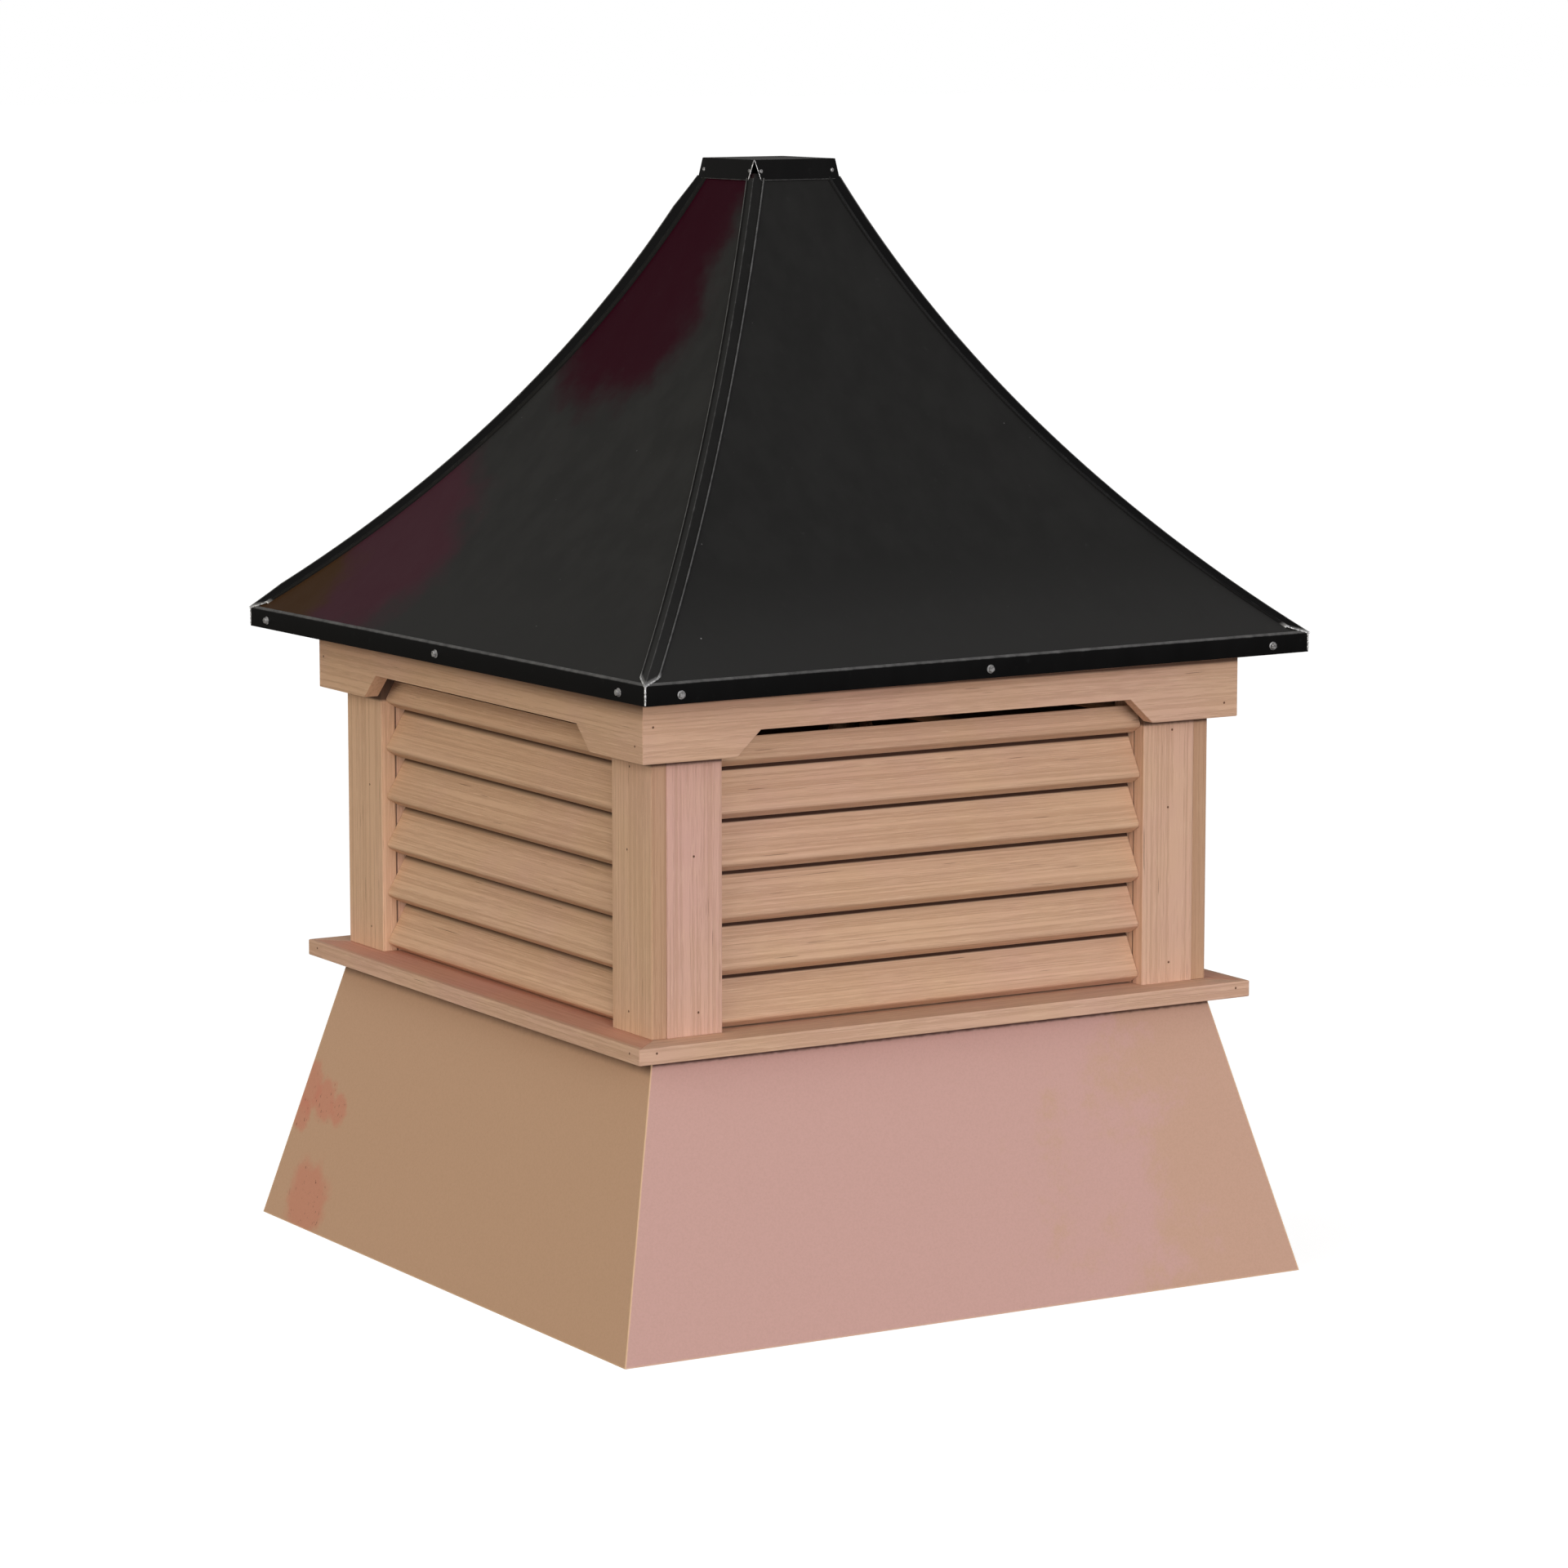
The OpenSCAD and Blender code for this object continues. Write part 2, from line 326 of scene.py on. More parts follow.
# %% [markdown]
# ## The same paint on smooth skirt panels
# The skirt is sheet board, so it has no grain. What shows is the roller's fine stipple, a slow drift of the
# colour from rose to tan, a bright rubbed line down each mitre where the paint has worn off the sharp
# edge, and a few reddish scuffs low on the left panel from handling. A band of painted shade runs just under
# the sill. A mitre lies where x and y are equal, so the rubbed line is the small difference between the two.

# %% Skirt paint
CLAY_TAN = linear(206, 168, 139)
CLAY_ROSE = linear(213, 171, 163)
CLAY_DARK = linear(158, 114, 84)
RUBBED = linear(238, 204, 166)
SCUFF = linear(112, 60, 44)


def skirt_paint(name, rose, tan_share, seed, sill_shade, scuffs=()):
    """Smooth paint. Rose gives way to tan where x passes the given number, with a ragged border. Painted
    shade under the sill grows from one distance below the sill to another, in millimetres. Each scuff is a
    centre and a radius."""
    finish = Finish(name)
    x, y, z = finish.axes()
    clouds = finish.noise(150 * MM, 5.0, 0.7, seed)
    specks = finish.noise(9 * MM, 1.0, 0.5, seed + 2.2)
    stipple = finish.noise(2.2 * MM, 2.0, 0.6, seed + 4.4)
    border = x + 0.9 * (clouds - 0.5) + 0.12 * (specks - 0.5)
    coat = finish.blend(tan_share * finish.ramp(border, rose, rose + 0.16), CLAY_ROSE, CLAY_TAN)
    coat = finish.blend(0.10 * finish.ramp(stipple, 0.35, 0.7), coat, CLAY_DARK)
    for centre, radius in scuffs:
        around = finish.near(centre, radius, seed)
        coat = finish.blend(0.5 * around, coat, REDDENED)
        strokes = finish.ramp(finish.noise((3 * MM, 3 * MM, 9 * MM), 2.0, 0.6, seed + 7.0), 0.64, 0.70)
        coat = finish.blend(0.8 * around * strokes, coat, SCUFF)
    # Painted shadow: a dark brown band just under the sill.
    low, high = sill_shade
    under_sill = finish.ramp(z + 2 * MM * (specks - 0.5), sill_low - low * MM, sill_low - high * MM)
    coat = finish.blend(0.85 * under_sill, coat, SHADE_BROWN)
    mitre = finish.ramp(abs(abs(x) - abs(y)) + 1.5 * MM * specks, 2.8 * MM, 1.4 * MM)
    foot = finish.ramp(z, 2.2 * MM, 0.8 * MM)
    coat = finish.blend(0.75 * mitre.larger(0.6 * foot), coat, RUBBED)
    return finish.done(
        Base_Color=coat, Roughness=0.50 + 0.12 * stipple, Normal=finish.bump(stipple, 0.10 * MM),
        Specular_IOR_Level=0.3)


skirt_finishes = {
    "front": skirt_paint("skirt_paint_front", 0.16, 0.6, 3.0, (12, 8.5)),
    "right": skirt_paint("skirt_paint_right", 0.30, 0.8, 5.0, (14, 8)),
    "back": skirt_paint("skirt_paint_back", -0.10, 0.7, 7.0, (14, 8)),
    "left": skirt_paint("skirt_paint_left", -1.0, 1.0, 9.0, (24, 7), [
        ((-0.415, 0.41, 0.165), 0.044), ((-0.42, 0.36, 0.155), 0.034), ((-0.42, 0.32, 0.148), 0.026),
        ((-0.425, 0.41, 0.128), 0.026), ((-0.449, 0.355, 0.035), 0.062)])}
print(len(skirt_finishes), "skirt finishes")

# %% [markdown]
# ## Black coil-coated sheet
# The roof is thin steel with a baked black coat, satin rather than glossy. Handling has left pale specks and
# a few short scratches in it, it turns greyer towards the eave, and one panel has faded to maroon near the
# top and to plum and brown at one foot. That panel also carries lighter greys, a painted sheen in place of
# what its lower gloss leaves out, and the trims, the collar and two of the caps are painted in darker blacks
# as shade. Cut ends are bare and the collar's foot is rubbed grey, while grey lines of painted highlight run
# along the hems and folds of the caps and the trims' lap. A folded piece carries an attribute for these: a
# middling number stands for the rubbed grey and the painted highlights, and 1 for bare zinc, and noise breaks
# up both.

# %% Black sheet
BLACK_COAT = linear(31, 31, 31)
BLACK_SHADE = linear(26, 26, 26)
EAVE_GREY = linear(46, 46, 46)
MAROON = linear(44, 0, 17)
PLUM = linear(64, 34, 44)
BROWN = linear(62, 41, 22)
HIGHLIGHT_AND_RUB_GREY = linear(118, 118, 119)
CHIP_GREY = linear(168, 168, 170)
ZINC = linear(205, 207, 210)


def specks_in(finish, spacing, radius, seed):
    """Small round chips: the points of a Voronoi pattern that lie near the surface."""
    sockets = {"Vector": finish.place(), "W": seed, "Scale": 1 / spacing}
    away = finish.node("ShaderNodeTexVoronoi", {"voronoi_dimensions": "4D"}, sockets, "Distance")
    return finish.ramp(away * spacing, radius, 0.4 * radius)


def black_sheet(name, seed, shades=(BLACK_SHADE, BLACK_COAT), eave_share=0.5, casts=(), gloss=0.20):
    """Black satin coat with chips and scratches. Smudges blend its two shades, and the eave share is how much
    greyer it turns near the eave. Each cast is a colour, a centre and a radius."""
    finish = Finish(name)
    smudges = finish.noise((35 * MM, 35 * MM, 90 * MM), 3.0, 0.6, seed + 1.3)
    peel = finish.noise(3.5 * MM, 2.0, 0.5, seed + 2.9)
    coat = finish.blend(finish.ramp(smudges, 0.3, 0.7), *shades)
    level = finish.axes()[2] + 100 * MM * (smudges - 0.5)
    eave_greying = finish.ramp(level, eave_high + 110 * MM, eave_high + 10 * MM)
    coat = finish.blend(eave_share * eave_greying, coat, EAVE_GREY)
    for colour, centre, radius in casts:
        coat = finish.blend(finish.near(centre, radius, seed), coat, colour)
    scratches = finish.ramp(finish.noise((1.1 * MM, 2.4 * MM, 22 * MM), 1.0, 0.5, seed + 6.0), 0.80, 0.84)
    chips = specks_in(finish, 20 * MM, 1.2 * MM, seed).larger(0.5 * scratches)
    coat = finish.blend(0.62 * chips, coat, CHIP_GREY)
    # Painted highlight and wear: from the attribute, grey paints highlight lines along hems and folds and the
    # rubbed collar foot, and zinc the bare cut ends.
    wear_and_highlight = finish.node("ShaderNodeAttribute", {"attribute_name": "wear_and_highlight"}, {}, "Fac")
    broken = finish.noise(12 * MM, 3.0, 0.65, seed + 8.0)
    coat = finish.blend(finish.ramp(wear_and_highlight + 0.5 * (broken - 0.5), 0.05, 0.75), coat, HIGHLIGHT_AND_RUB_GREY)
    bare = finish.ramp(wear_and_highlight + 0.4 * (broken - 0.5), 0.70, 0.95)
    coat = finish.blend(bare, coat, ZINC)
    return finish.done(
        Base_Color=coat, Roughness=0.34 + 0.22 * smudges, Metallic=0.75 * bare,
        Normal=finish.bump(peel, 0.03 * MM), Specular_IOR_Level=gloss)


# Painted shade: darker copies of the black coat for the trims, the collar and the caps at the front right and
# back left.
SHADED_BLACKS = (linear(9, 9, 10), linear(12, 12, 13))
# Painted sheen: the left panel's lighter greys stand in for the sheen that its low gloss leaves out.
SHEEN_GREYS = (linear(40, 40, 40), linear(47, 47, 47))
roof_finishes = {
    "front": black_sheet("roof_sheet_front", 2.0),
    "right": black_sheet("roof_sheet_right", 5.0, casts=[(MAROON, (0.30, -0.10, 0.86), 0.12)]),
    "back": black_sheet("roof_sheet_back", 8.0),
    "left": black_sheet("roof_sheet_left", 11.0, SHEEN_GREYS, gloss=0.05, casts=[
        (MAROON, (-0.09, 0.03, 1.24), 0.12), (MAROON, (-0.14, 0.05, 1.12), 0.16),
        (PLUM, (-0.37, 0.26, 0.82), 0.19), (BROWN, (-0.44, 0.41, 0.77), 0.15)])}
cap_finishes = [
    black_sheet("hip_cap_sheet", 14.0, gloss=0.12), black_sheet("hip_cap_shaded_black", 15.0, SHADED_BLACKS, 0.0, gloss=0.1)]
trim_finish = black_sheet("eave_trim_sheet", 17.0, SHADED_BLACKS, 0.0, gloss=0.10)
collar_finish = black_sheet("collar_sheet", 20.0, SHADED_BLACKS, 0.0, gloss=0.12)
print("black sheet for the panels, caps, trims and collar")

# %% [markdown]
# ## Bare metal and nail heads
# Cut ends shine because nothing covers the zinc there. Screws and rivets are duller: they have weathered, and
# dirt sits round them. The nails that hold the boards are set a little under the paint and show as
# small brown dots.

# %% Bare metal and nails
def bare_metal(name, shade, roughness, seed):
    """Zinc darkened in slow clouds, with a fine noise in its roughness and its bumps."""
    finish = Finish(name)
    clouds = finish.noise(3.0 * MM, 3.0, 0.6, seed)
    fine = finish.noise(0.8 * MM, 2.0, 0.6, seed + 1.0)
    coat = finish.blend(0.7 * finish.ramp(clouds, 0.62, 0.34), shade, BLACK_COAT)
    return finish.done(
        Base_Color=coat, Metallic=0.35, Roughness=roughness + 0.25 * fine,
        Normal=finish.bump(fine, 0.05 * MM))


def set_nail(name):
    """A rusty nail head under a skin of paint."""
    finish = Finish(name)
    rust = finish.ramp(finish.noise(0.9 * MM, 2.0, 0.6, 1.0), 0.4, 0.6)
    coat = finish.blend(rust, linear(84, 52, 36), linear(128, 88, 64))
    return finish.done(Base_Color=coat, Roughness=0.7)


zinc_bright = bare_metal("zinc_bright", linear(236, 237, 240), 0.26, 1.0)
zinc_dull = bare_metal("zinc_dull", linear(172, 172, 174), 0.30, 2.0)
nail_finish = set_nail("nail_rust")
print("bare metal and nail finishes")

# %% [markdown]
# ## Eased boards
# No sawn board has a knife edge: the paint and a pass of sandpaper leave a radius of about a millimetre, and
# that is what catches the light. The frame's solids are loose triangles, so three modifiers follow each
# other: Weld joins the triangles, Decimate takes out the lines across flat faces, and Bevel rounds what is
# left. Weighted Normal then keeps the wide faces flat. The skirt's smooth panels get a smaller radius,
# because their mitres are tight and only rubbed.

# %% Ease and paint the boards
def ease(node, radius):
    """Rounds the edges of a frame node by a radius, without touching its own mesh."""
    stack = nodes[node].modifiers
    stack.new("joined", "WELD").merge_threshold = 0.01 * MM
    flat = stack.new("flat_faces", "DECIMATE")
    flat.decimate_type = "DISSOLVE"
    flat.angle_limit = math.radians(1)
    flat.delimit = set()
    edge = stack.new("eased_edges", "BEVEL")
    edge.width = radius
    edge.segments = 2
    edge.limit_method = "ANGLE"
    edge.angle_limit = math.radians(25)
    stack.new("even_light", "WEIGHTED_NORMAL").weight = 100


def paint(node, finish):
    """Gives a frame node its finish."""
    nodes[node].data.materials.clear()
    nodes[node].data.materials.append(finish)


for turn, side in enumerate(SIDES):
    away = turn % 2
    paint(f"skirt_{side}", skirt_finishes[side])
    paint(f"sill_{side}", sill_boards[away])
    paint(f"frieze_{side}", frieze_boards[away])
    paint(f"louvre_stiles_{side}", boards_up["stile"])
    paint(f"louvre_blades_{side}", blade_boards[away])
    ease(f"skirt_{side}", 0.4 * MM)
    ease(f"sill_{side}", 1.0 * MM)
    ease(f"frieze_{side}", 0.8 * MM)
    ease(f"louvre_stiles_{side}", 1.0 * MM)
    ease(f"louvre_blades_{side}", 0.6 * MM)
for corner in CORNERS:
    paint(f"side_board_{corner}", boards_up["edged"])
    paint(f"face_board_{corner}", boards_up["rosy" if corner == "front_left" else "plain"])
    ease(f"side_board_{corner}", 1.2 * MM)
    ease(f"face_board_{corner}", 0.8 * MM)
for hidden in ("top_plate", "roof_base"):
    paint(hidden, sill_boards[0])
    ease(hidden, 1.0 * MM)
paint("collar_lid", collar_finish)
ease("collar_lid", 0.5 * MM)
print("eased and painted", sum(len(node.modifiers) > 0 for node in nodes.values()), "parts")

# %% [markdown]
# ## Surfaces from arrays
# A folded strip of metal is one section carried along a path. The section is a closed loop of points, and
# the path only moves and stretches it, so a whole piece is an array with one row for each step of the path
# and one column for each point of the section. Faces join neighbours in the array. Whether they face
# outwards is checked by the signed volume, which is below zero when a shape is inside out.

# %% Meshes from arrays
def signed_volume(points, quads):
    """Adds up the volume of the pyramids from the origin to each face, with the sign of its winding."""
    a, b, c, d = (points[quads[:, k]] for k in range(4))
    return (np.einsum("ij,ij->i", a, np.cross(b, c)) + np.einsum("ij,ij->i", a, np.cross(c, d))).sum() / 6


def add_piece(name, points, faces, finish, wear_and_highlight=None, smooth_below=35):
    """Makes a piece that rides on the body. The wear and highlight values, if given, are a number from 0 to 1
    for each point, which paint rubbed grey, painted highlight lines and bare zinc. Edges flatter than an
    angle in degrees are shaded smooth."""
    mesh = bpy.data.meshes.new(name)
    mesh.from_pydata(points.tolist(), [], faces)
    mesh.materials.append(finish)
    mesh.shade_smooth()
    mesh.set_sharp_from_angle(angle=math.radians(smooth_below))
    if wear_and_highlight is not None:
        mesh.attributes.new("wear_and_highlight", "FLOAT", "POINT").data.foreach_set("value", wear_and_highlight.astype(np.float32))
    piece = bpy.data.objects.new(name, mesh)
    bpy.context.scene.collection.objects.link(piece)
    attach(piece, BODY)
    return piece


def loft(name, rows, finish, wear_and_highlight=None, smooth_below=35):
    """A piece of sheet metal: closed loops of points, given as steps by points by 3, are joined in turn, and
    a flat face closes each end."""
    steps, around = rows.shape[:2]
    index = np.arange(steps * around).reshape(steps, around)
    ahead = np.roll(index, -1, axis=1)
    quads = np.stack([index[:-1], ahead[:-1], ahead[1:], index[1:]], axis=-1).reshape(-1, 4)
    points = rows.reshape(-1, 3)
    ends = [index[0][::-1], index[-1]]
    start = points[index[0]].mean(axis=0)
    if signed_volume(points - start, quads) + end_volume(points - start, ends) < 0:
        quads = quads[:, ::-1]
        ends = [end[::-1] for end in ends]
    faces = quads.tolist() + [end.tolist() for end in ends]
    point_wear_and_highlight = None if wear_and_highlight is None else np.broadcast_to(wear_and_highlight, (steps, around)).reshape(-1)
    return add_piece(name, points, faces, finish, point_wear_and_highlight, smooth_below)


def end_volume(points, ends):
    """The share of the end faces in the signed volume, each as a fan from its first point."""
    total = 0.0
    for end in ends:
        a, b, c = points[end[0]], points[end[1:-1]], points[end[2:]]
        total += np.cross(b, c).dot(a).sum() / 6
    return total


def rounded(corners, radius, steps=4):
    """A loop of points with its corners cut back by a radius and joined by a parabola, which starts and
    ends along the two sides that meet there."""
    corner = np.asarray(corners, float)
    before = np.roll(corner, 1, axis=0) - corner
    after = np.roll(corner, -1, axis=0) - corner
    reach = np.minimum(np.hypot(*before.T), np.hypot(*after.T)) / 2
    cut = np.minimum(radius, 0.9 * reach)[:, None]
    start = corner + before / np.hypot(*before.T)[:, None] * cut
    end = corner + after / np.hypot(*after.T)[:, None] * cut
    t = np.linspace(0, 1, steps)[None, :, None]
    curve = (1 - t) ** 2 * start[:, None] + 2 * t * (1 - t) * corner[:, None] + t ** 2 * end[:, None]
    return curve.reshape(-1, 2)


def turned(points, angle):
    """Points turned about the vertical axis."""
    c, s = math.cos(angle), math.sin(angle)
    return points @ np.array([[c, s, 0], [-s, c, 0], [0, 0, 1]])


print("mesh tools ready")

# %% [markdown]
# ## The roof's curve
# Each roof panel bends in one direction only, so it can be rolled from flat sheet. Seen from the side it is
# one arc whose centre lies outside the roof. The arc is measured from the frame: a circle through points
# satisfies y y + z z = 2 a y + 2 b z + c, which is linear in a, b and c, so least squares finds them at once.

# %% Measure the arc
def roof_arc():
    """Centre and radius of the roof's outer arc in the (y, z) plane, from the panel's upward faces."""
    mesh = nodes["roof_front"].data
    normals = np.empty(3 * len(mesh.polygons))
    mesh.polygons.foreach_get("normal", normals)
    up = normals.reshape(-1, 3)[:, 2]
    corners = np.empty(3 * len(mesh.polygons), int)
    mesh.polygons.foreach_get("vertices", corners)
    outside = corners.reshape(-1, 3)[(up > 0.05) & (up < 0.95)].ravel()
    points = turned(vertices("roof_front")[outside], -roof_turn)
    y, z = points[:, 1], points[:, 2]
    unknowns = np.linalg.lstsq(np.stack([2 * y, 2 * z, np.ones_like(y)], 1), y * y + z * z, rcond=None)[0]
    a, b, c = unknowns
    return a, b, math.sqrt(c + a * a + b * b)


arc_y, arc_z, arc_radius = roof_arc()


def roof_curve(low_r, top_z, count, lift=0.0):
    """Points up the roof at a height above its sheet: distance from the axis, height, and the way out of
    the sheet, as four arrays. They are the points of a circle about the arc's centre, evenly spaced."""
    radius = arc_radius - lift
    first = -np.arccos((-low_r - arc_y) / radius)
    last = np.arcsin((top_z - arc_z) / radius)
    angle = np.linspace(first, last, count)
    across, up = np.cos(angle), np.sin(angle)
    return -(arc_y + radius * across), arc_z + radius * up, across, -up


print("arc centre", round(arc_y, 3), round(arc_z, 3), "radius", round(arc_radius, 3))

# %% [markdown]
# ## Rolled roof panels
# The frame's panels are true, but real sheet of this size is never quite flat: it pulls in and out by half a
# millimetre or so between its fixings, and the reflections wander with it. Each panel here is a fine grid on
# the same arc, a little over a millimetre and a half thick, with a slow wave that dies away at the hips, the
# eave and the collar.

# %% Roof panels
SHEET = 1.6 * MM
WAVE = 0.6 * MM
PANEL_STEPS = 90
panel_r = eave_r - 2 * MM
panel_top_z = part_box("roof_front")[1][2]


def waviness(across, up, seed):
    """Slow waves: a sum of sines in both directions, faded out at every edge."""
    fade = (1 - across ** 2) * np.sin(np.pi * np.clip(up, 0, 1))
    slow = np.sin(5.1 * across + 1.3 * seed) * np.sin(7.0 * up + 0.7 * seed)
    quick = 0.4 * np.sin(11.0 * across - 4.0 * up + seed) * np.cos(13.0 * up + 2.0 * across)
    return WAVE * fade * (slow + quick)


def roof_panel(side, turn, seed):
    """A section of two arcs, one sheet apart, carried across the front and mitred at both hips. At every
    step the share across runs from -1 to 1, and a point's x is that share of its distance from the axis."""
    loops = []
    for lift, way in ((0.0, 1), (-SHEET, -1)):
        r, z, out_r, out_z = roof_curve(panel_r, panel_top_z, PANEL_STEPS, lift)
        up = np.linspace(0, 1, PANEL_STEPS)
        loops.append(np.stack([r, z, out_r, out_z, up], 1)[::way])
    r, z, out_r, out_z, up = np.concatenate(loops).T
    share = np.sin(np.linspace(-1, 1, PANEL_STEPS) * math.pi / 2)[:, None]
    wave = waviness(share, up[None, :], seed)
    distance = r[None, :] + wave * out_r
    rows = np.stack([share * r, -distance, z[None, :] + wave * out_z], axis=-1)
    piece = loft(f"roof_sheet_{side}", turned(rows, roof_turn + turn * math.pi / 2), roof_finishes[side])
    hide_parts(f"roof_{side}")
    return piece


for turn, side in enumerate(SIDES):
    print(roof_panel(side, turn, turn + 1.0).name, "on the arc")

# %% [markdown]
# ## Folded hip caps
# A narrow cap covers each hip, where two panels meet. It is a strip folded along its middle, and its two
# edges are turned back into small hems. Painted highlights run along the hems as two thin grey lines, with a
# fainter one on the middle fold, and on two of the caps the painted highlight lies on the middle fold
# instead.
# The one at the back left is folded sharper than the rest. Every level slice through a cap is a chevron. That
# gives the surface directly: a section point lies at a distance from the hip and a height above the sheet,
# and it is carried up the arc.

# %% Hip caps
CAP_HALF = 11.0 * MM
CAP_STEPS = 80
CAP_POINT = 0.9
cap_section = MM * np.array([
    (0.0, 3.0), (1.2, 2.7), (7.6, 1.5), (8.6, 1.6), (9.2, 2.5), (10.2, 2.9), (11.0, 2.3), (11.2, 1.0),
    (11.2, -0.4)])
# Painted highlights: grey lines along the crease and the hems, one row for each of the two kinds of cap.
cap_highlight = np.array([
    (0.35, 0.0, 0.0, 0.0, 0.0, 0.55, 0.25, 0.0, 0.0), (0.80, 0.0, 0.0, 0.0, 0.0, 0.10, 0.0, 0.0, 0.0)])
SHARP_FOLD = {"back_left": 3.5 * MM}


def hip_cap(corner, turn):
    """The front half: a point at u from the hip and h above the sheet has y = -(r + h out), with r and out
    from the arc, and x = y + u times the root of 2. The left half is the same with x and y exchanged. The
    foot is cut to a point: a section point starts up the arc by a share of its distance from the hip. A cap
    that is folded sharper stands prouder in its middle, by a rise that falls to nothing at hems and ends."""
    halves = np.concatenate([cap_section[::-1] * (-1, 1), cap_section[1:]])
    kind = turn % 2
    wear_and_highlight = np.concatenate([cap_highlight[kind][::-1], cap_highlight[kind][1:]])
    u, h = halves[None, :, 0], halves[None, :, 1]
    steps = np.arange(CAP_STEPS)
    rise = SHARP_FOLD.get(corner, 0.0) * np.clip(np.minimum(steps, steps[::-1]) / 5, 0, 1)[:, None]
    h = h + rise * np.clip(1 - np.abs(u) / CAP_HALF, 0, 1)
    r, z, out_r, out_z = roof_curve(eave_r - CAP_POINT * np.abs(u[0]), collar_low + 2 * MM, CAP_STEPS)
    near = -(r + h * out_r)
    far = near + HALF_SQUARE * np.abs(u)
    height = z + h * out_z
    rows = np.where((u >= 0)[..., None], np.stack([far, near, height], -1), np.stack([near, far, height], -1))
    point_wear_and_highlight = np.tile(wear_and_highlight, (CAP_STEPS, 1))
    point_wear_and_highlight[0] = 1.0
    piece = loft(
        f"hip_cap_folded_{corner}", turned(rows, roof_turn + turn * math.pi / 2), cap_finishes[kind],
        wear_and_highlight=point_wear_and_highlight, smooth_below=28)
    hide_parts(f"hip_cap_{corner}")
    return piece


for turn, corner in enumerate(CORNERS):
    print(hip_cap(corner, turn).name, "folded over its hip")

# %% [markdown]
# ## Eave trims
# An angle of sheet closes the roof's lower edge. It laps a few millimetres over the panel, turns down over
# the fascia, and turns in underneath as a drip. The section is drawn once as a closed loop and carried
# across each side, mitred by the same rule as the panels.

# %% Eave trims
TRIM_STEPS = 41
LAP_HIGHLIGHT = 0.42
trim_section = [
    (-8.0, 0.0), (0.0, 0.0), (0.0, 22.4), (-3.2, 25.2), (-4.4, 24.4), (-4.6, 23.4), (-1.8, 21.4),
    (-1.8, 1.8), (-8.0, 1.8)]


def eave_trim(side, turn):
    """Section points are a distance from the eave's face and a height above its foot. A point's x is the
    share across times its distance from the axis. A painted highlight runs along the fold over the panel."""
    loop = rounded(MM * np.array(trim_section), 0.9 * MM)
    r = eave_r + loop[:, 0]
    z = eave_low + loop[:, 1]
    share = np.linspace(-1, 1, TRIM_STEPS)[:, None]
    rows = np.stack(np.broadcast_arrays(share * r, -r, z), -1)
    # Painted highlight: a grey line along the fold over the panel.
    lap = LAP_HIGHLIGHT * np.clip((loop[:, 1] / MM - 21.5) / 1.5, 0, 1)
    piece = loft(f"eave_trim_folded_{side}", turned(rows, roof_turn + turn * math.pi / 2), trim_finish, lap)
    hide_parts(f"eave_trim_{side}")
    return piece


for turn, side in enumerate(SIDES):
    print(eave_trim(side, turn).name, "along its eave")

# %% [markdown]
# ## The collar
# The collar is one strip of sheet bent round four sides. It leans in as it rises, and its two ends part
# towards the foot at the front left corner, so they leave a slit like a V upside down. The path is a square
# with rounded corners that starts and ends at that corner. Both ends are held back from it by a share of
# the slit that falls to nothing at the top.

# %% Collar
COLLAR_BEND = 2.5 * MM
STRIP_TALL = 24 * MM
SLIT = 10.6 * MM
collar_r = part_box("collar")[1][0] / (math.cos(roof_turn) + math.sin(roof_turn))
collar_top_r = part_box("collar_lid")[1][0] / (math.cos(roof_turn) + math.sin(roof_turn)) + 2 * MM


def collar_strip():
    """Each point is on a square of half width h that shrinks with height: along a side it is the share of
    the straight stretch, and a quarter circle joins the sides."""
    loop = rounded(MM * np.array([(0, 0), (0, 1.8), (0, 22), (0, 24), (-1.6, 24), (-1.6, 0)]), 0.5 * MM)
    rise = loop[:, 1] / STRIP_TALL
    half = collar_r + (collar_top_r - collar_r) * rise + loop[:, 0]
    bend = COLLAR_BEND + loop[:, 0]
    held = SLIT * np.clip(1 - rise, 0, 1) + 0.3 * MM
    rows = []
    for side in range(4):
        low = -half + (held if side == 0 else bend)
        high = half - (held if side == 3 else bend)
        share = np.linspace(0, 1, 13)[:, None]
        x = low + (high - low) * share
        straight = np.stack(np.broadcast_arrays(x, -half, loop[:, 1]), -1)
        rows.append(turned(straight, side * math.pi / 2))
        if side < 3:
            angle = np.linspace(0, math.pi / 2, 7)[1:-1, None]
            x = half - bend + bend * np.sin(angle)
            y = -(half - bend) - bend * np.cos(angle)
            arc = np.stack(np.broadcast_arrays(x, y, loop[:, 1]), -1)
            rows.append(turned(arc, side * math.pi / 2))
    rows = np.concatenate(rows) + (0, 0, collar_low)
    foot_worn = 0.55 * np.clip(1 - loop[:, 1] / (1.2 * MM), 0, 1)
    piece = loft("collar_strip", turned(rows, roof_turn), collar_finish, foot_worn)
    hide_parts("collar")
    return piece


print(collar_strip().name, "half width", round(collar_r, 4), "to", round(collar_top_r, 4))

# %% [markdown]
# ## Bright seams
# Where two trims meet at a corner of the eave, and along the slit in the collar, the cut ends are bare. They
# are hammered and soldered, so the seam is a bead that is never quite even. A bead is a circle carried
# along a short path, and its radius wanders with a sum of sines.

